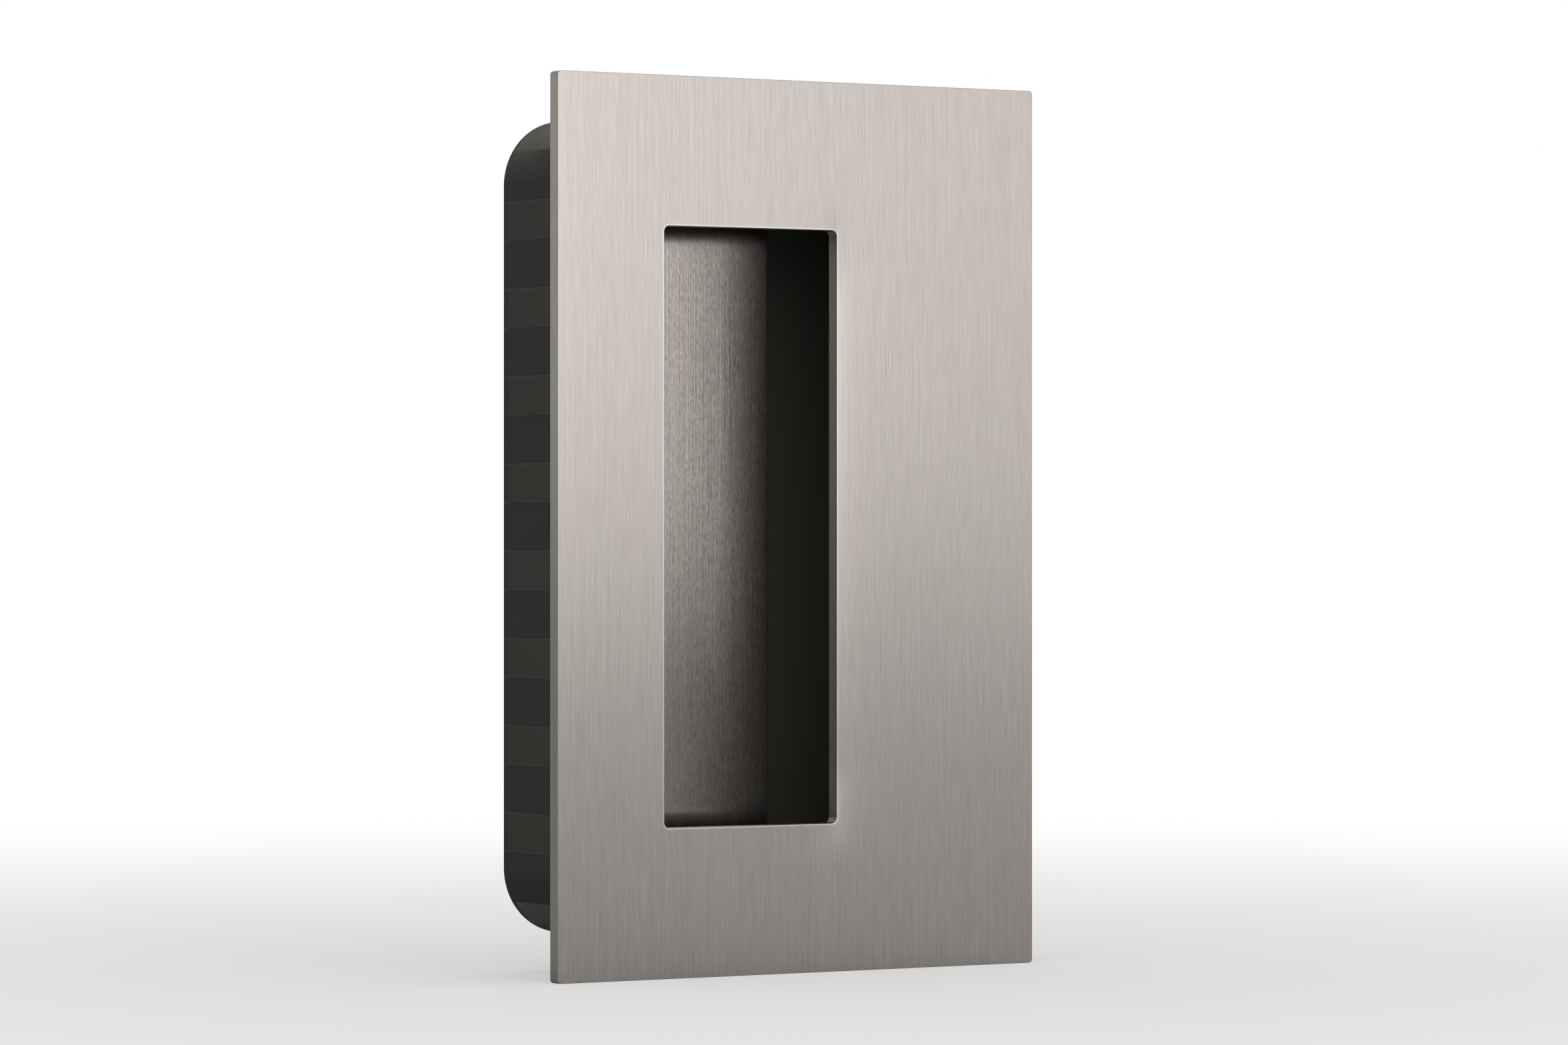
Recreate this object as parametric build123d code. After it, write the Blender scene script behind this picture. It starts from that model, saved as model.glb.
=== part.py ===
"""Recessed pull handle for a sliding door.

Millimetres. The finished part stands upright: +X to the right as seen from the front, +Y into the door, +Z up.
The origin is the middle of the faceplate's outline, on the plane of the door's face. Each piece is drawn lying
on its back, with z = 0 as the door's face and +z towards the room, and is turned upright when it is written.
"""

import os

from build123d import *

# Faceplate: flat sheet, cut and deburred
plate_w = 75.0
plate_h = 120.0
plate_t = 2.0
plate_corner_r = 0.8
edge_break = 0.2  # rounding of the front edges, round the outline and the slot

# Finger slot, set to the left of the plate's middle
slot_w = 27.0
slot_h = 80.0
slot_shift = 7.75
slot_corner_r = 0.8

# Moulded housing
rim_overlap = 5.0  # how far the plate covers the door's face round the housing
housing_depth = 22.0  # behind the door's face
housing_corner_r = 9.0
back_edge_r = 0.5
wall = 2.5
floor_t = 3.0
core_draft = 1.0  # degrees that the pocket narrows by towards its floor
core_corner_r = 2.0
floor_chamfer = 1.2  # round the pocket's floor

# Raised pads across the housing's long sides, which centre it in its recess
pad_w = 5.2
pad_gap = 6.55
pad_proud = 0.15
pad_end_gap = 1.9  # from the pads to the housing's back

# Corner bosses, one round each screw
boss_inset = 7.0  # from the housing's outer faces to a boss's axis
boss_r = 4.3
boss_web = 3.0  # plastic held between a screw's head and its bush

# Tapped bushes, welded to the plate's back
bush_r = 2.5
bush_len = 10.0
bush_fit = 0.1
bush_end_gap = 0.3
bush_chamfer = 0.3
thread_r = 1.5
thread_depth = 8.0

# Pan head screws with a cross recess
screw_len = 8.0
screw_fit = 0.03
screw_hole_gap = 0.2
head_r = 2.8
head_t = 2.4
head_dome = 0.9
head_gap = 0.3
drive_span = 3.0
drive_arm = 0.8
drive_depth = 1.3
drive_taper = 12.0  # degrees

# Stainless strip, bonded to the pocket's floor
inlay_margin = 1.4  # how far the strip runs on behind each edge of the slot
inlay_t = 1.0
inlay_corner_r = 0.5
seat_depth = 0.5
seat_gap = 0.15
tape_t = 0.2
tape_inset = 1.0

housing_w = plate_w - 2 * rim_overlap
housing_h = plate_h - 2 * rim_overlap
pocket_w = housing_w - 2 * wall
pocket_h = housing_h - 2 * wall
inlay_w = slot_w + 2 * inlay_margin
inlay_h = slot_h + 2 * inlay_margin
slot_middle = Pos(-slot_shift, 0)
pad_step = pad_w + pad_gap
pocket_depth = housing_depth - floor_t
seat_z = -(pocket_depth + seat_depth)
socket_depth = bush_len + bush_end_gap
head_seat_z = -(socket_depth + boss_web)
bosses = GridLocations(housing_w - 2 * boss_inset, housing_h - 2 * boss_inset, 2, 2)


def faceplate():
    outline = RectangleRounded(plate_w, plate_h, plate_corner_r)
    slot = RectangleRounded(slot_w, slot_h, slot_corner_r)
    plate = extrude(outline - slot_middle * slot, plate_t)
    front = plate.faces().sort_by(Axis.Z)[-1]
    return fillet(front.edges(), edge_break)


def housing_block():
    """The housing's outside: a rounded block with its back edge eased and pads across its long sides."""
    outline = RectangleRounded(housing_w, housing_h, housing_corner_r)
    block = extrude(outline, -housing_depth)
    back = block.faces().sort_by(Axis.Z)[0]
    block = fillet(back.edges(), back_edge_r)
    straight = housing_h - 2 * housing_corner_r
    count = int((straight - pad_w) // pad_step) + 1
    pad = Rectangle(housing_w + 2 * pad_proud, pad_w)
    pads = Sketch() + GridLocations(1, pad_step, 1, count) * pad
    return block + extrude(pads, pad_end_gap - housing_depth)


def mould_core():
    """The pocket: a cross that leaves a boss in each corner, narrowing towards its floor."""
    notch = boss_inset + boss_r - wall
    cross = Rectangle(pocket_w - 2 * notch, pocket_h) + Rectangle(pocket_w, pocket_h - 2 * notch)

    def beside_boss(corner):
        return max(abs(corner.X) - pocket_w / 2, abs(corner.Y) - pocket_h / 2) < -notch / 2

    def on_outline(corner):
        return not beside_boss(corner)

    cross = fillet(cross.vertices().filter_by(on_outline), core_corner_r)
    cross = fillet(cross.vertices().filter_by(beside_boss), boss_r)
    core = extrude(cross, -pocket_depth, taper=core_draft)
    tip = core.faces().sort_by(Axis.Z)[0]
    return chamfer(tip.edges(), floor_chamfer)


def boss_bore():
    """One boss's stepped hole: bush socket in front, screw hole, head's counterbore behind."""
    inwards = Align.CENTER, Align.CENTER, Align.MAX
    socket = Cylinder(bush_r + bush_fit, socket_depth, align=inwards)
    hole = Cylinder(thread_r + screw_hole_gap, housing_depth, align=inwards)
    counterbore = Cylinder(head_r + head_gap, housing_depth + head_seat_z, align=inwards)
    return socket + hole + Pos(0, 0, head_seat_z) * counterbore


def housing():
    seat = RectangleRounded(inlay_w + 2 * seat_gap, inlay_h + 2 * seat_gap, inlay_corner_r + seat_gap)
    seat = Pos(0, 0, seat_z) * slot_middle * extrude(seat, seat_depth)
    return housing_block() - mould_core() - seat - bosses * boss_bore()


def floor_inlay():
    strip = extrude(RectangleRounded(inlay_w, inlay_h, inlay_corner_r), inlay_t)
    return Pos(0, 0, seat_z + tape_t) * slot_middle * strip


def inlay_tape():
    film = extrude(Rectangle(inlay_w - 2 * tape_inset, inlay_h - 2 * tape_inset), tape_t)
    return Pos(0, 0, seat_z) * slot_middle * film


def weld_bushes():
    """A turned bush behind each corner of the plate, tapped from its free end."""
    bush = Cylinder(bush_r, bush_len, align=(Align.CENTER, Align.CENTER, Align.MAX))
    free_end = bush.faces().sort_by(Axis.Z)[0]
    bush = chamfer(free_end.edges(), bush_chamfer)
    thread = Cylinder(thread_r, thread_depth, align=(Align.CENTER, Align.CENTER, Align.MIN))
    return Part() + bosses * (bush - Pos(0, 0, -bush_len) * thread)


def housing_screws():
    """Pan head screws, driven from the housing's back into the bushes."""
    shank = Cylinder(thread_r - screw_fit, screw_len, align=(Align.CENTER, Align.CENTER, Align.MIN))
    head = Cylinder(head_r, head_t, align=(Align.CENTER, Align.CENTER, Align.MAX))
    dome_r = (head_r**2 + head_dome**2) / (2 * head_dome)
    head = head & Pos(0, 0, dome_r - head_t) * Sphere(dome_r)
    arm = extrude(Rectangle(drive_span, drive_arm), drive_depth, taper=drive_taper)
    drive = Pos(0, 0, -head_t) * (arm + Rot(Z=90) * arm)
    screw = shank + head - drive
    return Part() + bosses * (Pos(0, 0, head_seat_z) * screw)


pieces = {
    "faceplate": faceplate(),
    "housing": housing(),
    "floor_inlay": floor_inlay(),
    "inlay_tape": inlay_tape(),
    "weld_bushes": weld_bushes(),
    "housing_screws": housing_screws(),
}

upright = Rot(X=90)
os.makedirs("parts", exist_ok=True)
for name, piece in pieces.items():
    export_step(upright * piece, f"parts/{name}.step")
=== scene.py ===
import math

import bmesh
import bpy
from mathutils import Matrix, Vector


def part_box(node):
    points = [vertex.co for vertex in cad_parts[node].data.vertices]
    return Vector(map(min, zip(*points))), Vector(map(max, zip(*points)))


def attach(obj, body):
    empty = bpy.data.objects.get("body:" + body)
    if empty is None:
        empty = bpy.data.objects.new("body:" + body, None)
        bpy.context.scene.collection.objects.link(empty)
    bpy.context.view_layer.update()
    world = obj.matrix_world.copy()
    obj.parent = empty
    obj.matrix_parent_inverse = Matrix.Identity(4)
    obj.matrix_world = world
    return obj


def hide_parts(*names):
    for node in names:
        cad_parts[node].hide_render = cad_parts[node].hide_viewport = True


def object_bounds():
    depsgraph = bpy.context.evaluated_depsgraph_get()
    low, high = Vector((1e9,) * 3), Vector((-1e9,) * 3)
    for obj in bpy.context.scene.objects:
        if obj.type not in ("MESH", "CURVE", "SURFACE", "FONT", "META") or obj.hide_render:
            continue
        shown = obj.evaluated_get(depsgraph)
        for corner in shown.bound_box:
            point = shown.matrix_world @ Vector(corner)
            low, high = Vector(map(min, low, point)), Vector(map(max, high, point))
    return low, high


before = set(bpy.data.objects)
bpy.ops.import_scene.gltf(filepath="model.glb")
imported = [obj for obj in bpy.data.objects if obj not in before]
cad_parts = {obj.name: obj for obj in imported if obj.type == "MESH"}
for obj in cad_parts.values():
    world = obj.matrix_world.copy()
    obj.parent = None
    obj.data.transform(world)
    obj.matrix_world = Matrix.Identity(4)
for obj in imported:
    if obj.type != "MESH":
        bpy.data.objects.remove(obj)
cad_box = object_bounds()

# New pieces are modelled in millimetres, in the frame of the CAD nodes, and turned to metres at the end.
MM = 0.001


def box_mm(node):
    low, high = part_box(node)
    return low / MM, high / MM


PLATE = box_mm("faceplate")
HOUSING = box_mm("housing")
STRIP = box_mm("floor_inlay")

# Faceplate
PLATE_CORNER = 0.5
SLOT_CORNER = 0.8
EDGE_BREAK = 0.08
RIM_PAINTED_HIGHLIGHT = 0.2  # a painted highlight runs round the slot's rim this far beyond its edge break

# Strip on the pocket's floor
STRIP_MARGIN = 1.4  # the strip runs on this far behind each edge of the slot
STRIP_CORNER = 0.5
STRIP_EDGE = 0.1

# Brushing
LONG_SCRATCH = 35.0
DIP_FADE = 9.0, 6.0  # a dip fades out from this far below its top to this far above it

# Housing
HOUSING_CORNER = 9.0
BACK_EDGE = 0.5
WALL = 2.5
POCKET_DEPTH = 19.0
DRAFT = math.tan(math.radians(1.0))  # for each millimetre of depth
CORE_CORNER = 2.0
FLOOR_EDGE = 1.2
BOSS_INSET = 7.0
BOSS_R = 4.3
SEAT_DEPTH = 0.5
SEAT_GAP = 0.15
PAD_COUNT = 8
PAD_HEIGHT = 5.2
PAD_SPACING = 11.75
PAD_PROUD = 0.15
PAD_END_GAP = 1.9
PAD_EDGE = 0.05

# Small marks: pale specks on one side by depth behind the plate and height, and nicks in its back edge by
# height. Then the place and radius of a mottled painted sheen on a top corner.
SPECKS = (13.5, 33.3), (18.3, 32.0), (15.4, 31.6), (17.4, 30.6), (17.4, 29.0), (18.6, 28.1), (20.8, 22.3)
SPECK_R = 0.2
NICKS = 3.7, -2.3, -13.7
NICK_R = 0.3
CORNER_PAINTED_SHEEN = (-29.0, 18.0, 52.5), 8.0

# Stepped bore in each boss: radius and how deep each step ends, from the plate's back
SOCKET_R, SOCKET_END = 2.6, 10.3
SCREW_HOLE_R, HEAD_SEAT = 1.7, 13.3
COUNTERBORE_R = 3.1

# M3 pan head screw
HEAD_R, HEAD_SIDE, HEAD_DOME = 2.8, 1.5, 0.9
CREST_R, ROOT_R, THREAD_PITCH = 1.47, 1.2, 0.5
FIRST_CREST = 0.8  # in pitches from the screw's tip
SCREW_LEN = 8.0
TIP_CHAMFER, HEAD_CHAMFER = 0.3, 0.1
DRIVE_SPAN, DRIVE_ARM, DRIVE_DEPTH = 3.0, 0.8, 1.3
DRIVE_TIP = 0.7  # the recess narrows to this share of its mouth

CUT_OVER = 1.0  # how far a cutting shape stands out of what it cuts
NEAR = 0.1  # within this, an edge counts as lying on an outline
MERGE = 0.0001
CARVED_MERGE = 0.0005
SHARP = math.radians(40)  # past this, an edge is shaded as a sharp one
FRONT = Vector((0, -1, 0))
BACK = Vector((0, 1, 0))


# ---- shapes ----


def block(low, high):
    bm = bmesh.new()
    bmesh.ops.create_cube(bm, size=1)
    bmesh.ops.scale(bm, vec=high - low, verts=bm.verts)
    bmesh.ops.translate(bm, vec=(high + low) / 2, verts=bm.verts)
    return bm


def board(xs, zs, y, open_cells):
    """A sheet of cells between the lines xs and zs, without the cells named by column and row."""
    bm = bmesh.new()
    columns, rows = len(xs) - 1, len(zs) - 1
    bmesh.ops.create_grid(bm, x_segments=columns, y_segments=rows, size=0.5)
    cells = {f: (math.floor((f.calc_center_median().x + 0.5) * columns),
                 math.floor((f.calc_center_median().y + 0.5) * rows)) for f in bm.faces}
    for v in bm.verts:
        column, row = round((v.co.x + 0.5) * columns), round((v.co.y + 0.5) * rows)
        v.co = Vector((xs[column], y, zs[row]))
    gone = [f for f, cell in cells.items() if cell in open_cells]
    bmesh.ops.delete(bm, geom=gone, context="FACES")
    return bm


def thicken(bm, depth):
    """Turns a sheet into a solid, and gives the vertices of its far side."""
    made = bmesh.ops.extrude_face_region(bm, geom=bm.faces[:])
    far = [g for g in made["geom"] if isinstance(g, bmesh.types.BMVert)]
    bmesh.ops.translate(bm, vec=BACK * depth, verts=far)
    bmesh.ops.recalc_face_normals(bm, faces=bm.faces)
    return far


def turned(profile, steps):
    """A solid of revolution about Y, from (radius, y) points that start and end on the axis."""
    bm = bmesh.new()
    points = [bm.verts.new((radius, y, 0)) for radius, y in profile]
    lines = [bm.edges.new(pair) for pair in zip(points, points[1:])]
    bmesh.ops.spin(bm, geom=points + lines, cent=(0, 0, 0), axis=(0, 1, 0), angle=2 * math.pi,
                   steps=steps, use_merge=True)
    bmesh.ops.remove_doubles(bm, verts=bm.verts, dist=MERGE)
    bmesh.ops.recalc_face_normals(bm, faces=bm.faces)
    return bm


def copies(single, places):
    mesh = bpy.data.meshes.new("single")
    single.to_mesh(mesh)
    bm = bmesh.new()
    for place in places:
        before = len(bm.verts)
        bm.from_mesh(mesh)
        bm.verts.ensure_lookup_table()
        bmesh.ops.translate(bm, vec=place, verts=bm.verts[before:])
    bpy.data.meshes.remove(mesh)
    return bm


def carve(bm, cutters):
    """Cuts closed shapes out of a closed solid."""
    mesh = bpy.data.meshes.new("solid")
    bm.to_mesh(mesh)
    solid = bpy.data.objects.new("solid", mesh)
    bpy.context.scene.collection.objects.link(solid)
    tools = []
    for cutter in cutters:
        tool_mesh = bpy.data.meshes.new("cutter")
        cutter.to_mesh(tool_mesh)
        tool = bpy.data.objects.new("cutter", tool_mesh)
        bpy.context.scene.collection.objects.link(tool)
        tools.append(tool)
        cut = solid.modifiers.new("cut", "BOOLEAN")
        cut.operation, cut.solver, cut.object = "DIFFERENCE", "EXACT", tool
    graph = bpy.context.evaluated_depsgraph_get()
    result = bpy.data.meshes.new_from_object(solid.evaluated_get(graph))
    carved = bmesh.new()
    carved.from_mesh(result)
    for made in [solid, *tools]:
        bpy.data.meshes.remove(made.data)
    bpy.data.meshes.remove(result)
    bmesh.ops.remove_doubles(carved, verts=carved.verts, dist=CARVED_MERGE)
    return carved


def round_off(bm, edges, radius, segments):
    bmesh.ops.bevel(bm, geom=edges, offset=radius, offset_type="OFFSET", segments=segments, profile=0.5,
                    affect="EDGES", clamp_overlap=True, material=-1)


def edges_from_front_to_back(bm, wanted=lambda middle: True):
    """Edges that run mostly along Y and whose middle is wanted."""
    found = []
    for edge in bm.edges:
        start, end = (v.co for v in edge.verts)
        run = end - start
        if abs(run.y) > 0.9 * run.length and wanted((start + end) / 2):
            found.append(edge)
    return found


def rim_edges(bm, direction, wanted=lambda middle: True):
    """Edges round the flat faces that look in a direction and whose middle is wanted."""
    faces = {f for f in bm.faces if f.normal.dot(direction) > 0.9999 and wanted(f.calc_center_median())}
    return [e for e in bm.edges if len(faces.intersection(e.link_faces)) == 1]


# ---- materials ----


def linear(code):
    """An sRGB hex colour as a linear one."""
    shares = [int(code[i:i + 2], 16) / 255 for i in (1, 3, 5)]
    return [c / 12.92 if c <= 0.04045 else ((c + 0.055) / 1.055) ** 2.4 for c in shares] + [1.0]


def add(tree, kind, inputs=None, **settings):
    """Adds a node with its settings. inputs maps its sockets to values or to the outputs that feed them."""
    made = tree.nodes.new(kind)
    for name, value in settings.items():
        setattr(made, name, value)
    for socket, value in (inputs or {}).items():
        if isinstance(value, bpy.types.NodeSocket):
            tree.links.new(value, made.inputs[socket])
        else:
            made.inputs[socket].default_value = value
    return made


def material(name):
    made = bpy.data.materials.new(name)
    made.use_nodes = True
    made.node_tree.nodes.clear()
    return made


def streaks(tree, width, length, detail=2.0, offset=0.0, along="z"):
    """Noise in streaks of a width and a length in millimetres, from 0 to 1."""
    scale = [1 / (width * MM)] * 3
    scale["xyz".index(along)] = 1 / (length * MM)
    place = add(tree, "ShaderNodeTexCoord")
    turned_to_size = add(tree, "ShaderNodeMapping", {"Vector": place.outputs["Object"], "Scale": scale,
                                                     "Location": (offset, offset, offset)})
    grain = add(tree, "ShaderNodeTexNoise", {"Vector": turned_to_size.outputs["Vector"], "Scale": 1.0,
                                             "Detail": detail, "Roughness": 0.55})
    return grain.outputs["Fac"]


def dip(tree, x, slope, reach, top):
    """Height in metres of a face that dips towards an edge at x, over a reach in millimetres. It fades out
    round its top, and as far below the middle."""
    fade_from, fade_to = top - DIP_FADE[0], top + DIP_FADE[1]
    place = add(tree, "ShaderNodeTexCoord")
    axes = add(tree, "ShaderNodeSeparateXYZ", {0: place.outputs["Object"]})
    off = add(tree, "ShaderNodeMath", {0: axes.outputs["X"], 1: x * MM}, operation="SUBTRACT")
    away = add(tree, "ShaderNodeMath", {0: off.outputs[0]}, operation="ABSOLUTE")
    share = add(tree, "ShaderNodeMath", {0: away.outputs[0], 1: -1 / (reach * MM)}, operation="MULTIPLY")
    fall = add(tree, "ShaderNodeMath", {0: share.outputs[0]}, operation="EXPONENT")
    level = add(tree, "ShaderNodeMath", {0: axes.outputs["Z"]}, operation="ABSOLUTE")
    beside = add(tree, "ShaderNodeMapRange",
                 {"Value": level.outputs[0], "From Min": fade_from * MM, "From Max": fade_to * MM,
                  "To Min": -slope * reach * MM, "To Max": 0.0}, interpolation_type="SMOOTHSTEP")
    height = add(tree, "ShaderNodeMath", {0: fall.outputs[0], 1: beside.outputs[0]}, operation="MULTIPLY")
    return height.outputs[0]


def near_outline(tree, low, high, corner, reach):
    """1 on the outline of a rectangle with round corners, 0 a reach in millimetres outside it."""
    place = add(tree, "ShaderNodeTexCoord")
    middle, half = (high + low) / 2 * MM, (high - low) / 2 * MM
    off = add(tree, "ShaderNodeVectorMath", {0: place.outputs["Object"], 1: (middle.x, 0, middle.z)},
              operation="SUBTRACT")
    folded = add(tree, "ShaderNodeVectorMath", {0: off.outputs["Vector"]}, operation="ABSOLUTE")
    past = add(tree, "ShaderNodeVectorMath",
               {0: folded.outputs["Vector"], 1: (half.x - corner * MM, 1, half.z - corner * MM)},
               operation="SUBTRACT")
    outside = add(tree, "ShaderNodeVectorMath", {0: past.outputs["Vector"], 1: (0, 0, 0)},
                  operation="MAXIMUM")
    away = add(tree, "ShaderNodeVectorMath", {0: outside.outputs["Vector"]}, operation="LENGTH")
    near = add(tree, "ShaderNodeMapRange",
               {"Value": away.outputs["Value"], "From Min": (corner + reach / 2) * MM,
                "From Max": (corner + reach) * MM, "To Min": 1.0, "To Max": 0.0})
    return near.outputs["Result"]


def brushed_stainless(name, dark, light, roughness, run, streak, groove, pits=0.0, rim=None, dips=()):
    """Stainless steel sheet, brushed along its height with an abrasive belt. The long fine scratches throw
    light widely to the left and right and hardly at all up and down, and each one catches it a little. Its
    cut edges are duller, and round the rim of an opening a near-white band is painted as a painted highlight.
    A streak of colour has a width and a length in millimetres, a groove a width and a depth, and run is how
    far the shine runs out across them."""
    made = material(name)
    tree = made.node_tree
    fine = streaks(tree, *streak)
    drawn = streaks(tree, 1.3 * streak[0], LONG_SCRATCH, detail=1.0, offset=7.0)
    share = add(tree, "ShaderNodeMath", {0: drawn, 1: 0.6}, operation="MULTIPLY")
    both = add(tree, "ShaderNodeMath", {0: fine, 1: share.outputs[0]}, operation="ADD")
    tone = add(tree, "ShaderNodeMapRange", {"Value": both.outputs[0], "From Min": 0.55, "From Max": 1.05})
    colour = add(tree, "ShaderNodeMix", {0: tone.outputs[0], 6: linear(dark), 7: linear(light)},
                 data_type="RGBA").outputs[2]

    place = add(tree, "ShaderNodeTexCoord")
    facing = add(tree, "ShaderNodeSeparateXYZ", {0: place.outputs["Normal"]})
    cut_edge = add(tree, "ShaderNodeMapRange",
                   {"Value": facing.outputs["Y"], "From Min": -0.5, "From Max": -0.2})
    over = []
    if pits:
        spots = streaks(tree, 0.16, 0.5, detail=1.0, offset=23.0)
        deep = add(tree, "ShaderNodeMapRange",
                   {"Value": spots, "From Min": 0.75, "From Max": 0.8, "To Max": pits})
        over.append((deep.outputs[0], "#2C2A28"))
    # The near-white band round the slot's rim is a painted highlight.
    if rim:
        over.append((near_outline(tree, *rim, EDGE_BREAK + RIM_PAINTED_HIGHLIGHT), "#FAF7F4"))
    over.append((cut_edge.outputs[0], "#C1BEB4"))
    for share, tint in over:
        colour = add(tree, "ShaderNodeMix", {0: share, 6: colour, 7: linear(tint)},
                     data_type="RGBA").outputs[2]

    polish = add(tree, "ShaderNodeMapRange", {"Value": fine, "From Min": 0.3, "From Max": 0.7,
                                              "To Min": roughness - 0.025, "To Max": roughness + 0.025})
    cut = streaks(tree, groove[0], LONG_SCRATCH, offset=5.0)
    relief = add(tree, "ShaderNodeBump", {"Height": cut, "Strength": 1.0, "Distance": groove[1] * MM})
    for values in dips:
        relief = add(tree, "ShaderNodeBump", {"Height": dip(tree, *values), "Strength": 1.0, "Distance": 1.0,
                                              "Normal": relief.outputs[0]})
    across = add(tree, "ShaderNodeTangent", direction_type="UV_MAP", uv_map="grain")
    steel = add(tree, "ShaderNodeBsdfPrincipled",
                {"Base Color": colour, "Metallic": 1.0, "Roughness": polish.outputs[0], "Anisotropic": run,
                 "Normal": relief.outputs[0], "Tangent": across.outputs[0]})
    add(tree, "ShaderNodeOutputMaterial", {"Surface": steel.outputs[0]})
    return made


def spot(tree, place, radius):
    """1 round a place in millimetres, 0 beyond a radius."""
    here = add(tree, "ShaderNodeTexCoord")
    away = add(tree, "ShaderNodeVectorMath", {0: here.outputs["Object"], 1: [c * MM for c in place]},
               operation="DISTANCE")
    near = add(tree, "ShaderNodeMapRange",
               {"Value": away.outputs["Value"], "From Min": 0.4 * radius * MM, "From Max": radius * MM,
                "To Min": 1.0, "To Max": 0.0}, interpolation_type="SMOOTHSTEP")
    return near.outputs["Result"]


def in_pocket(tree):
    """1 inside the housing's walls, 0 on its outside."""
    within = (HOUSING[1] - Vector((PAD_PROUD + WALL / 2, WALL / 2, WALL / 2))) * MM
    place = add(tree, "ShaderNodeTexCoord")
    folded = add(tree, "ShaderNodeVectorMath", {0: place.outputs["Object"]}, operation="ABSOLUTE")
    past = add(tree, "ShaderNodeVectorMath", {0: folded.outputs["Vector"], 1: within}, operation="SUBTRACT")
    sides = add(tree, "ShaderNodeSeparateXYZ", {0: past.outputs["Vector"]})
    farther = add(tree, "ShaderNodeMath", {0: sides.outputs["X"], 1: sides.outputs["Y"]},
                  operation="MAXIMUM")
    farthest = add(tree, "ShaderNodeMath", {0: farther.outputs[0], 1: sides.outputs["Z"]},
                   operation="MAXIMUM")
    inside = add(tree, "ShaderNodeMath", {0: farthest.outputs[0], 1: 0.0}, operation="LESS_THAN")
    return inside.outputs[0]


def pad_painted_light(tree):
    """How much paler a pad is painted than the side beside it, as painted light, and how bright the painted
    highlight line along its edge is. Both grow a little towards the plate."""
    outermost = HOUSING[1].x
    place = add(tree, "ShaderNodeTexCoord")
    axes = add(tree, "ShaderNodeSeparateXYZ", {0: place.outputs["Object"]})
    sideways = add(tree, "ShaderNodeMath", {0: axes.outputs["X"]}, operation="ABSOLUTE")
    on_side = add(tree, "ShaderNodeMapRange",
                  {"Value": sideways.outputs[0], "From Min": (outermost - 1.5 * PAD_PROUD) * MM,
                   "From Max": (outermost - 1.2 * PAD_PROUD) * MM})
    on_pad = add(tree, "ShaderNodeMapRange",
                 {"Value": sideways.outputs[0], "From Min": (outermost - 0.6 * PAD_PROUD) * MM,
                  "From Max": (outermost - 0.3 * PAD_PROUD) * MM})
    to_front = add(tree, "ShaderNodeMapRange",
                   {"Value": axes.outputs["Y"], "From Min": 0.0,
                    "From Max": (HOUSING[1].y - PAD_END_GAP) * MM, "To Min": 0.45, "To Max": 0.3})
    paler = add(tree, "ShaderNodeMath", {0: on_pad.outputs[0], 1: to_front.outputs[0]},
                operation="MULTIPLY")

    # Folded this way, every pad's middle is at half the spacing, and its two edges fall on each other.
    folded = add(tree, "ShaderNodeMath", {0: axes.outputs["Z"], 1: PAD_SPACING / 2 * MM},
                 operation="PINGPONG")
    edge = (PAD_SPACING - PAD_HEIGHT) / 2 * MM
    off = add(tree, "ShaderNodeMath", {0: folded.outputs[0], 1: edge}, operation="SUBTRACT")
    away = add(tree, "ShaderNodeMath", {0: off.outputs[0]}, operation="ABSOLUTE")
    line = add(tree, "ShaderNodeMapRange",
               {"Value": away.outputs[0], "From Min": 0.04 * MM, "From Max": 0.14 * MM,
                "To Min": 0.6, "To Max": 0.0})
    painted_edge_highlight = add(tree, "ShaderNodeMath", {0: line.outputs[0], 1: on_side.outputs[0]},
                    operation="MULTIPLY")
    painted_edge_highlight = add(tree, "ShaderNodeMath", {0: painted_edge_highlight.outputs[0], 1: to_front.outputs[0]},
                    operation="MULTIPLY")
    return paler.outputs[0], painted_edge_highlight.outputs[0]


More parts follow.
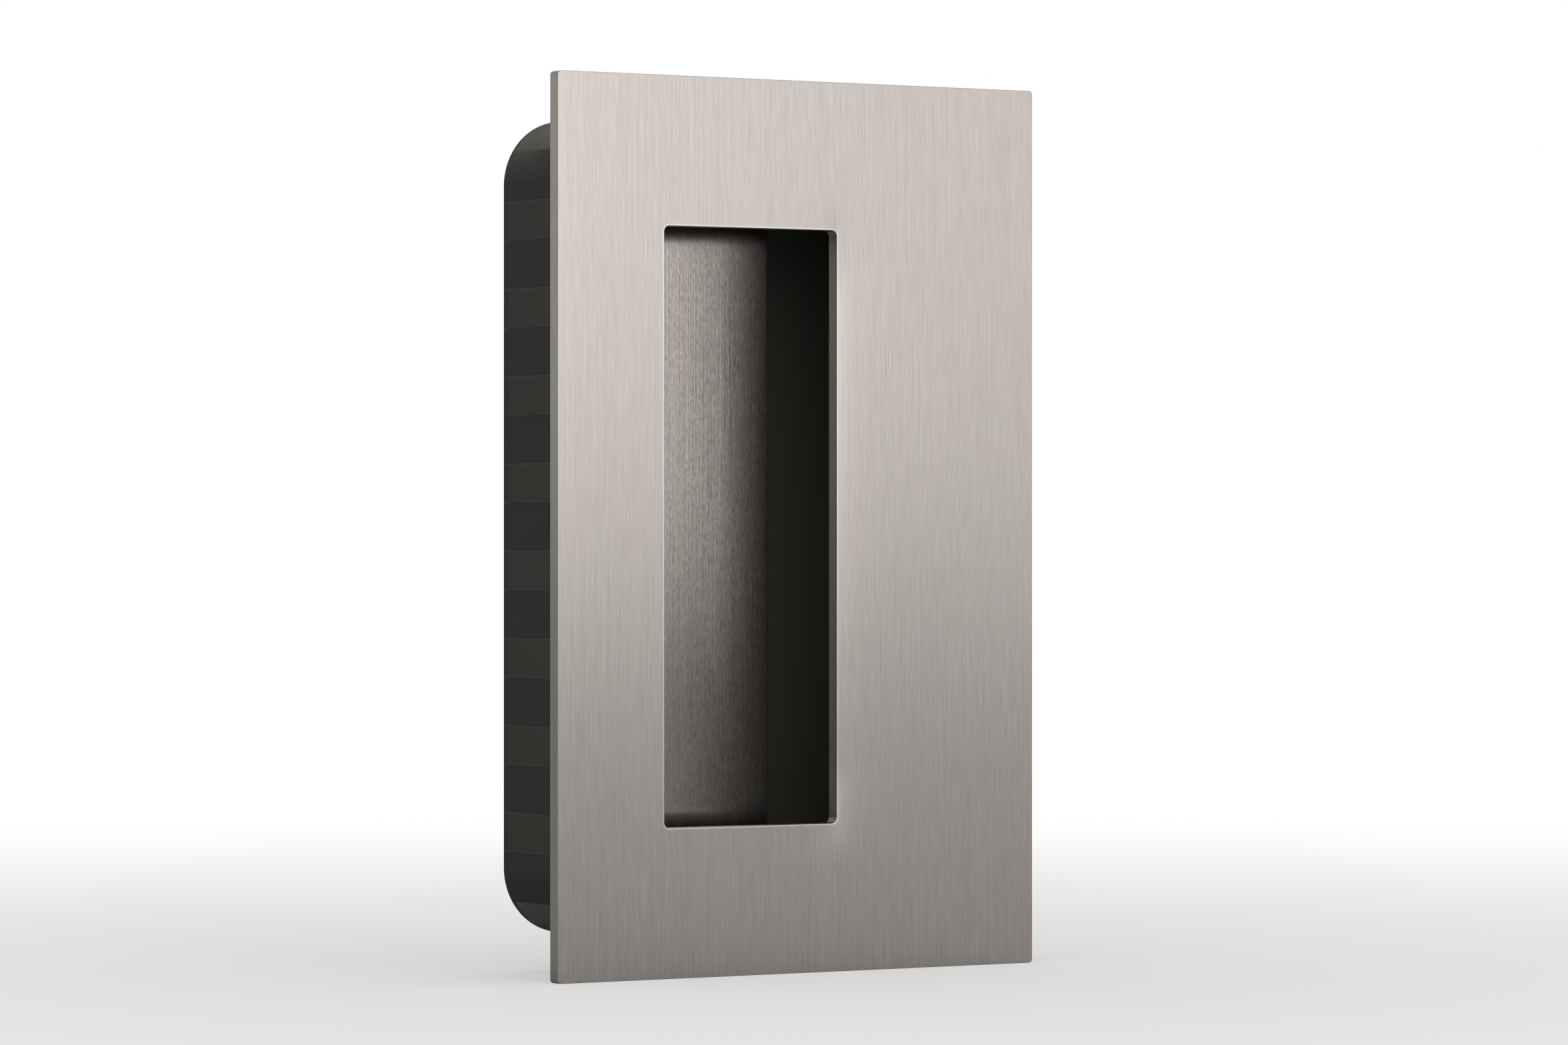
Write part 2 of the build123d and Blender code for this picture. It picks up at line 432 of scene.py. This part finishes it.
def moulded_abs():
    """Black ABS from a spark-eroded mould: deep black with a faint satin bloom. The pocket and the pads are
    painted paler as painted light, the pads' edges have painted highlight lines and a top corner a mottled
    painted sheen. It has a few pale specks on one side and small nicks in its back edge."""
    made = material("black_moulded_abs")
    tree = made.node_tree
    bloom = streaks(tree, 2.5, 5.0, detail=4.0, along="y")
    drawn = streaks(tree, 0.25, 3.0, detail=3.0, offset=3.0, along="y")
    haze = add(tree, "ShaderNodeMath", {0: bloom, 1: drawn}, operation="MULTIPLY")
    tone = add(tree, "ShaderNodeMapRange", {"Value": haze.outputs[0], "From Min": 0.15, "From Max": 0.4})
    colour = add(tree, "ShaderNodeMix", {0: tone.outputs[0], 6: linear("#252520"), 7: linear("#32312B")},
                 data_type="RGBA").outputs[2]

    # The pads are painted paler as painted light, and their edges get painted highlight lines.
    on_pad, on_pad_edge = pad_painted_light(tree)
    marks = [spot(tree, (-HOUSING[1].x, depth, height), SPECK_R) for depth, height in SPECKS]
    marks += [spot(tree, (PAD_PROUD - HOUSING[1].x, HOUSING[1].y, height), NICK_R) for height in NICKS]
    # A top corner is painted paler in a mottled patch: painted sheen.
    painted_corner_sheen = add(tree, "ShaderNodeMath", {0: spot(tree, *CORNER_PAINTED_SHEEN), 1: tone.outputs[0]}, operation="MULTIPLY")
    # The pocket is painted paler: painted light that lifts the shade inside it.
    over = [(in_pocket(tree), "#52524C"), (on_pad, "#46453E"), (on_pad_edge, "#7A776E")]
    over += [(mark, "#54514B") for mark in marks]
    over += [(painted_corner_sheen.outputs[0], "#4A4741")]
    for share, tint in over:
        colour = add(tree, "ShaderNodeMix", {0: share, 6: colour, 7: linear(tint)},
                     data_type="RGBA").outputs[2]

    satin = add(tree, "ShaderNodeMapRange", {"Value": haze.outputs[0], "From Min": 0.15, "From Max": 0.4,
                                             "To Min": 0.5, "To Max": 0.6})
    # The spark-eroded texture is drawn at 0.15 mm, coarser than the real one, so that it shows. It breaks up
    # the shine, so the IOR is below ABS's own 1.54.
    texture = streaks(tree, 0.15, 0.15, detail=2.0, offset=11.0)
    skin = add(tree, "ShaderNodeBump", {"Height": texture, "Strength": 1.0, "Distance": 0.004 * MM})
    plastic = add(tree, "ShaderNodeBsdfPrincipled",
                  {"Base Color": colour, "Roughness": satin.outputs[0], "IOR": 1.35,
                   "Normal": skin.outputs[0]})
    add(tree, "ShaderNodeOutputMaterial", {"Surface": plastic.outputs[0]})
    return made


def acrylic_film():
    """Double-sided acrylic film: milky and slightly cloudy, with a soft gloss."""
    made = material("acrylic_film")
    tree = made.node_tree
    cloud = streaks(tree, 2.0, 2.0, detail=3.0)
    colour = add(tree, "ShaderNodeMix", {0: cloud, 6: linear("#D2D0C8"), 7: linear("#E6E4DD")},
                 data_type="RGBA")
    film = add(tree, "ShaderNodeBsdfPrincipled",
               {"Base Color": colour.outputs[2], "Roughness": 0.35, "IOR": 1.48})
    add(tree, "ShaderNodeOutputMaterial", {"Surface": film.outputs[0]})
    return made


def turned_stainless():
    """Turned stainless steel: fine rings round the axis, about 0.1 mm apart."""
    made = material("turned_stainless")
    tree = made.node_tree
    rings = streaks(tree, 8.0, 0.1, detail=1.0, along="y")
    colour = add(tree, "ShaderNodeMix", {0: rings, 6: linear("#B9B4AE"), 7: linear("#D3CEC8")},
                 data_type="RGBA")
    marks = add(tree, "ShaderNodeBump", {"Height": rings, "Strength": 1.0, "Distance": 0.002 * MM})
    steel = add(tree, "ShaderNodeBsdfPrincipled", {"Base Color": colour.outputs[2], "Metallic": 1.0,
                                                   "Roughness": 0.3, "Normal": marks.outputs[0]})
    add(tree, "ShaderNodeOutputMaterial", {"Surface": steel.outputs[0]})
    return made


def zinc_plate():
    """Bright zinc plating on a cold-formed screw: pale blue-grey, glossy, a little cloudy."""
    made = material("zinc_plated_steel")
    tree = made.node_tree
    cloud = streaks(tree, 0.6, 0.6, detail=3.0)
    colour = add(tree, "ShaderNodeMix", {0: cloud, 6: linear("#B4B8BC"), 7: linear("#D0D3D6")},
                 data_type="RGBA")
    gloss = add(tree, "ShaderNodeMapRange", {"Value": cloud, "From Min": 0.3, "From Max": 0.7,
                                             "To Min": 0.22, "To Max": 0.34})
    zinc = add(tree, "ShaderNodeBsdfPrincipled", {"Base Color": colour.outputs[2], "Metallic": 1.0,
                                                  "Roughness": gloss.outputs[0]})
    add(tree, "ShaderNodeOutputMaterial", {"Surface": zinc.outputs[0]})
    return made


# ---- pieces ----


def put(name, bm, finish, node):
    """Writes a shape as a piece in metres, which rides on the handle and stands for a CAD node."""
    grain = bm.loops.layers.uv.new("grain")
    for face in bm.faces:
        facing = max(range(3), key=lambda axis: abs(face.normal[axis]))
        across, up = {0: (1, 2), 1: (0, 2), 2: (0, 1)}[facing]
        for loop in face.loops:
            loop[grain].uv = (loop.vert.co[across] * MM, loop.vert.co[up] * MM)
        face.smooth = True
    bmesh.ops.scale(bm, vec=(MM, MM, MM), verts=bm.verts)
    mesh = bpy.data.meshes.new(name)
    bm.to_mesh(mesh)
    bm.free()
    mesh.set_sharp_from_angle(angle=SHARP)
    mesh.materials.append(finish)
    piece = bpy.data.objects.new(name, mesh)
    bpy.context.scene.collection.objects.link(piece)
    flats = piece.modifiers.new("flat_faces", "WEIGHTED_NORMAL")
    flats.keep_sharp = True
    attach(piece, "root")
    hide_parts(node)


def opening():
    """Corners of the finger slot. The strip behind it runs on past each of its edges."""
    margin = Vector((STRIP_MARGIN, 0, STRIP_MARGIN))
    return STRIP[0] + margin, STRIP[1] - margin


def faceplate():
    low, high = PLATE
    slot_low, slot_high = opening()
    xs = (low.x, slot_low.x, slot_high.x, high.x)
    zs = (low.z, slot_low.z, slot_high.z, high.z)
    bm = board(xs, zs, low.y, {(1, 1)})
    thicken(bm, high.y - low.y)

    def of_slot(p):
        return slot_low.x - NEAR < p.x < slot_high.x + NEAR and abs(p.z) < slot_high.z + NEAR

    def of_plate(p):
        return abs(p.x) > high.x - NEAR and abs(p.z) > high.z - NEAR

    round_off(bm, edges_from_front_to_back(bm, of_slot), SLOT_CORNER, 8)
    round_off(bm, edges_from_front_to_back(bm, of_plate), PLATE_CORNER, 8)
    round_off(bm, rim_edges(bm, FRONT), EDGE_BREAK, 4)
    return bm


def boss_places():
    return [Vector((x, 0, z))
            for x in (-HOUSING[1].x + PAD_PROUD + BOSS_INSET, HOUSING[1].x - PAD_PROUD - BOSS_INSET)
            for z in (HOUSING[0].z + BOSS_INSET, HOUSING[1].z - BOSS_INSET)]


def pocket_core():
    """The pocket's shape: a cross that leaves a boss in each corner and narrows towards its floor."""
    half_w = HOUSING[1].x - PAD_PROUD - WALL
    half_h = HOUSING[1].z - WALL
    notch = BOSS_INSET + BOSS_R - WALL
    xs = (-half_w, notch - half_w, half_w - notch, half_w)
    zs = (-half_h, notch - half_h, half_h - notch, half_h)
    bm = board(xs, zs, -CUT_OVER, {(0, 0), (0, 2), (2, 0), (2, 2)})
    far = thicken(bm, POCKET_DEPTH + CUT_OVER)
    for v in far:
        v.co.x -= math.copysign(POCKET_DEPTH * DRAFT, v.co.x)
        v.co.z -= math.copysign(POCKET_DEPTH * DRAFT, v.co.z)

    def beside_boss(p):
        return abs(p.x) < half_w - notch / 2 and abs(p.z) < half_h - notch / 2

    round_off(bm, edges_from_front_to_back(bm, beside_boss), BOSS_R, 10)
    corners = edges_from_front_to_back(bm, lambda p: not beside_boss(p) and not (
        abs(p.x) < half_w - notch - NEAR and abs(p.z) < half_h - notch - NEAR))
    sharp = [e for e in corners if e.calc_face_angle(0) > math.radians(45)]
    round_off(bm, sharp, CORE_CORNER, 6)
    round_off(bm, rim_edges(bm, BACK), FLOOR_EDGE, 4)
    return bm


def strip_block(grow, front, back, corner):
    """The strip's outline grown all round, between two depths."""
    low, high = STRIP
    bm = block(Vector((low.x - grow, front, low.z - grow)), Vector((high.x + grow, back, high.z + grow)))
    round_off(bm, edges_from_front_to_back(bm), corner, 6)
    return bm


def housing():
    low, high = HOUSING
    side = high.x - PAD_PROUD
    bm = block(Vector((-side, low.y, low.z)), Vector((side, high.y, high.z)))
    round_off(bm, edges_from_front_to_back(bm), HOUSING_CORNER, 20)
    round_off(bm, rim_edges(bm, BACK), BACK_EDGE, 6)

    pad_back = high.y - PAD_END_GAP
    middles = [(i - (PAD_COUNT - 1) / 2) * PAD_SPACING for i in range(PAD_COUNT)]
    lines = [(Vector((0, pad_back, 0)), BACK)]
    lines += [(Vector((0, 0, z + end * PAD_HEIGHT / 2)), Vector((0, 0, 1)))
              for z in middles for end in (-1, 1)]
    for point, direction in lines:
        bmesh.ops.bisect_plane(bm, geom=bm.verts[:] + bm.edges[:] + bm.faces[:], dist=MERGE,
                               plane_co=point, plane_no=direction)
    pads = [f for f in bm.faces
            if abs(f.normal.x) > 0.999 and f.calc_center_median().y < pad_back
            and any(abs(f.calc_center_median().z - z) < PAD_HEIGHT / 2 for z in middles)]
    made = bmesh.ops.extrude_discrete_faces(bm, faces=pads)
    for face in made["faces"]:
        bmesh.ops.translate(bm, vec=(math.copysign(PAD_PROUD, face.normal.x), 0, 0), verts=face.verts)
    for direction in (Vector((-1, 0, 0)), Vector((1, 0, 0))):
        round_off(bm, rim_edges(bm, direction, lambda p: abs(p.x) > high.x - PAD_PROUD / 2), PAD_EDGE, 2)
    bmesh.ops.dissolve_limit(bm, angle_limit=0.005, verts=bm.verts, edges=bm.edges)

    seat_back = POCKET_DEPTH + SEAT_DEPTH
    seat = strip_block(SEAT_GAP, POCKET_DEPTH - NEAR, seat_back, STRIP_CORNER + SEAT_GAP)
    bore = turned([(0, -CUT_OVER), (SOCKET_R, -CUT_OVER), (SOCKET_R, SOCKET_END),
                   (SCREW_HOLE_R, SOCKET_END), (SCREW_HOLE_R, HEAD_SEAT), (COUNTERBORE_R, HEAD_SEAT),
                   (COUNTERBORE_R, high.y + CUT_OVER), (0, high.y + CUT_OVER)], 48)
    return carve(bm, [pocket_core(), seat, copies(bore, boss_places())])


def floor_strip():
    low, high = STRIP
    bm = strip_block(0, low.y, high.y, STRIP_CORNER)
    round_off(bm, rim_edges(bm, FRONT), STRIP_EDGE, 2)
    return bm


def pan_head_screws():
    """Pan head screws seen from behind in their counterbores. The thread is drawn as rings."""
    turns = int(SCREW_LEN / THREAD_PITCH) - 1
    tip = HEAD_SEAT - SCREW_LEN
    profile = [(0, tip), (ROOT_R - TIP_CHAMFER, tip), (ROOT_R, tip + TIP_CHAMFER)]
    for turn in range(turns):
        start = tip + THREAD_PITCH * (turn + FIRST_CREST)
        profile += [(CREST_R, start), (ROOT_R, start + THREAD_PITCH / 2)]
    dome_r = (HEAD_R**2 + HEAD_DOME**2) / (2 * HEAD_DOME)
    head_top = HEAD_SEAT + HEAD_SIDE + HEAD_DOME
    profile += [(ROOT_R, HEAD_SEAT), (HEAD_R - HEAD_CHAMFER, HEAD_SEAT), (HEAD_R, HEAD_SEAT + HEAD_CHAMFER)]
    swell = math.asin(HEAD_R / dome_r)
    profile += [(dome_r * math.sin(swell * share), head_top - dome_r * (1 - math.cos(swell * share)))
                for share in (1, 0.85, 0.7, 0.55, 0.4, 0.25, 0.12)]
    profile += [(0, head_top)]
    screw = turned(profile, 36)
    arms = []
    for length, width in ((DRIVE_SPAN, DRIVE_ARM), (DRIVE_ARM, DRIVE_SPAN)):
        arm = block(Vector((-length / 2, head_top - DRIVE_DEPTH, -width / 2)),
                    Vector((length / 2, head_top + CUT_OVER, width / 2)))
        for v in arm.verts:
            if v.co.y < head_top:
                v.co.x *= DRIVE_TIP
                v.co.z *= DRIVE_TIP
        arms.append(arm)
    return copies(carve(screw, arms), boss_places())


slot_low, slot_high = opening()
# The sheet is drawn in a little at its left edge and at the slot's right one. Each dip is given by its place
# along X, its slope, its reach and its top.
plate_steel = brushed_stainless("brushed_stainless_sheet", "#CCC4BE", "#E1D9D3", roughness=0.3, run=0.9,
                                streak=(0.11, 5.0), groove=(0.12, 0.0005),
                                rim=(slot_low, slot_high, SLOT_CORNER),
                                dips=[(PLATE[0].x, 0.025, 3.0, PLATE[1].z + DIP_FADE[0]),
                                      (slot_high.x, 0.09, 2.5, slot_high.z)])
# A real brush leaves grooves a few hundredths of a millimetre wide. They are drawn wider so that they show,
# and on the strip so much deeper as well, to tilt as far and spread the light as wide.
strip_steel = brushed_stainless("coarse_brushed_stainless", "#AFA8A1", "#DCD3CC", roughness=0.22, run=1.0,
                                streak=(0.11, 0.7), groove=(0.13, 0.015), pits=0.7)
black_abs = moulded_abs()

put("brushed_faceplate", faceplate(), plate_steel, "faceplate")
put("moulded_housing", housing(), black_abs, "housing")
put("brushed_floor_strip", floor_strip(), strip_steel, "floor_inlay")
put("pan_head_screws", pan_head_screws(), zinc_plate(), "housing_screws")

for node, finish in (("inlay_tape", acrylic_film()), ("weld_bushes", turned_stainless())):
    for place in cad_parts[node].material_slots:
        place.material = finish

# ---- floor, light and camera ----

FLOOR_HALF = 20.0
FLOOR_Z = cad_box[0].z
FLOOR_LIFT = 0.45
FLOOR_WHITENS = 0.05, 0.45  # from this far from the handle to this far, in metres
SIDES_OF_ROOM, ENDS_OF_ROOM = 0.1, 0.65
SIDES_TO_ENDS = 0.4, 0.9  # where the room's sides turn into its ends, as a direction's share along Y
MATT_DOME = 0.75
VIEW_TURN = math.radians(31.61)
# The backdrop stands behind the handle as the camera sees it.
BACKDROP = (math.sin(VIEW_TURN), math.cos(VIEW_TURN), 0)
BACKDROP_EDGE = 0.8, 0.95

scene = bpy.context.scene
scene.view_settings.view_transform = "Standard"


def shown_white(tree, direction):
    """1 for whoever looks straight at the floor or the room, and for metal that mirrors the backdrop."""
    unit = add(tree, "ShaderNodeVectorMath", {0: direction}, operation="NORMALIZE")
    towards = add(tree, "ShaderNodeVectorMath", {0: unit.outputs["Vector"], 1: BACKDROP},
                  operation="DOT_PRODUCT")
    behind = add(tree, "ShaderNodeMapRange",
                 {"Value": towards.outputs["Value"], "From Min": BACKDROP_EDGE[0],
                  "From Max": BACKDROP_EDGE[1]}, interpolation_type="SMOOTHSTEP")
    path = add(tree, "ShaderNodeLightPath")
    in_metal = add(tree, "ShaderNodeMath", {0: path.outputs["Is Glossy Ray"], 1: behind.outputs["Result"]},
                   operation="MULTIPLY")
    looked_at = add(tree, "ShaderNodeMath",
                    {0: path.outputs["Is Camera Ray"], 1: path.outputs["Is Transmission Ray"]},
                    operation="MAXIMUM")
    shown = add(tree, "ShaderNodeMath", {0: looked_at.outputs[0], 1: in_metal.outputs[0]},
                operation="MAXIMUM")
    return shown.outputs[0]


def pale_floor_paint():
    """Matt pale paint, which keeps the handle's shadow. Whoever looks at the floor itself sees it lifted,
    and plain white away from the handle."""
    made = material("pale_floor_paint")
    tree = made.node_tree
    place = add(tree, "ShaderNodeTexCoord")
    shown = shown_white(tree, place.outputs["Object"])
    lift = add(tree, "ShaderNodeMath", {0: shown, 1: FLOOR_LIFT}, operation="MULTIPLY")
    paint = add(tree, "ShaderNodeBsdfDiffuse", {"Color": linear("#989898")})
    glow = add(tree, "ShaderNodeEmission", {"Color": (1, 1, 1, 1), "Strength": lift.outputs[0]})
    at_handle = add(tree, "ShaderNodeAddShader", {0: paint.outputs[0], 1: glow.outputs[0]})
    white = add(tree, "ShaderNodeEmission", {"Color": (1, 1, 1, 1), "Strength": 1.0})
    away = add(tree, "ShaderNodeVectorMath", {0: place.outputs["Object"]}, operation="LENGTH")
    far = add(tree, "ShaderNodeMapRange",
              {"Value": away.outputs["Value"], "From Min": FLOOR_WHITENS[0], "From Max": FLOOR_WHITENS[1]},
              interpolation_type="SMOOTHSTEP")
    whitened = add(tree, "ShaderNodeMath", {0: shown, 1: far.outputs[0]}, operation="MULTIPLY")
    look = add(tree, "ShaderNodeMixShader",
               {0: whitened.outputs[0], 1: at_handle.outputs[0], 2: white.outputs[0]})
    add(tree, "ShaderNodeOutputMaterial", {"Surface": look.outputs[0]})
    return made


def studio_room():
    """A room that is bright in front of the handle and behind it and dark at both sides. Matt surfaces see a
    plain dome."""
    made = bpy.data.worlds.new("studio")
    made.use_nodes = True
    tree = made.node_tree
    tree.nodes.clear()
    direction = add(tree, "ShaderNodeTexCoord").outputs["Generated"]
    axes = add(tree, "ShaderNodeSeparateXYZ", {0: direction})
    depth = add(tree, "ShaderNodeMath", {0: axes.outputs["Y"]}, operation="ABSOLUTE")
    room = add(tree, "ShaderNodeMapRange",
               {"Value": depth.outputs[0], "From Min": SIDES_TO_ENDS[0], "From Max": SIDES_TO_ENDS[1],
                "To Min": SIDES_OF_ROOM, "To Max": ENDS_OF_ROOM}, interpolation_type="SMOOTHSTEP")
    strength = add(tree, "ShaderNodeMath", {0: shown_white(tree, direction), 1: room.outputs[0]},
                   operation="MAXIMUM")
    path = add(tree, "ShaderNodeLightPath")
    plain = add(tree, "ShaderNodeMix",
                {0: path.outputs["Is Diffuse Ray"], 2: strength.outputs[0], 3: MATT_DOME}, data_type="FLOAT")
    sky = add(tree, "ShaderNodeBackground", {"Color": (1, 1, 1, 1), "Strength": plain.outputs[0]})
    add(tree, "ShaderNodeOutputWorld", {"Surface": sky.outputs[0]})
    return made


def lamp(name, place, aim, width, height, brightness):
    """A white soft box whose face has a brightness, where 1 is white."""
    light = bpy.data.lights.new(name, "AREA")
    light.shape, light.size, light.size_y = "RECTANGLE", width, height
    light.energy = brightness * math.pi * width * height
    made = bpy.data.objects.new(name, light)
    made.location = place
    made.rotation_euler = (Vector(aim) - Vector(place)).to_track_quat("-Z", "Y").to_euler()
    scene.collection.objects.link(made)


floor_mesh = bpy.data.meshes.new("pale_floor")
floor_bm = bmesh.new()
bmesh.ops.create_grid(floor_bm, x_segments=1, y_segments=1, size=FLOOR_HALF)
bmesh.ops.translate(floor_bm, vec=(0, 0, FLOOR_Z), verts=floor_bm.verts)
floor_bm.to_mesh(floor_mesh)
floor_bm.free()
floor_mesh.materials.append(pale_floor_paint())
floor = bpy.data.objects.new("pale_floor", floor_mesh)
scene.collection.objects.link(floor)

scene.world = studio_room()
lamp("key_soft_box", (0.131, -0.991, 0.37), (0, 0, 0.37), 0.37, 0.8, 1.85)
lamp("fill_soft_box", (0.707, -0.707, 0.36), (0, 0, 0.36), 0.25, 0.8, 0.45)
lamp("top_soft_box", (0.1, -0.1, 1.2), (0, 0, 0), 1.0, 1.0, 1.0)

camera_data = bpy.data.cameras.new("camera")
camera_data.lens = 140.0
camera_data.sensor_width = 36.0
camera = bpy.data.objects.new("camera", camera_data)
camera.location = (-0.4316, -0.6990, 0.0006)
camera.rotation_euler = (math.radians(90), 0, -VIEW_TURN)
scene.collection.objects.link(camera)
scene.camera = camera
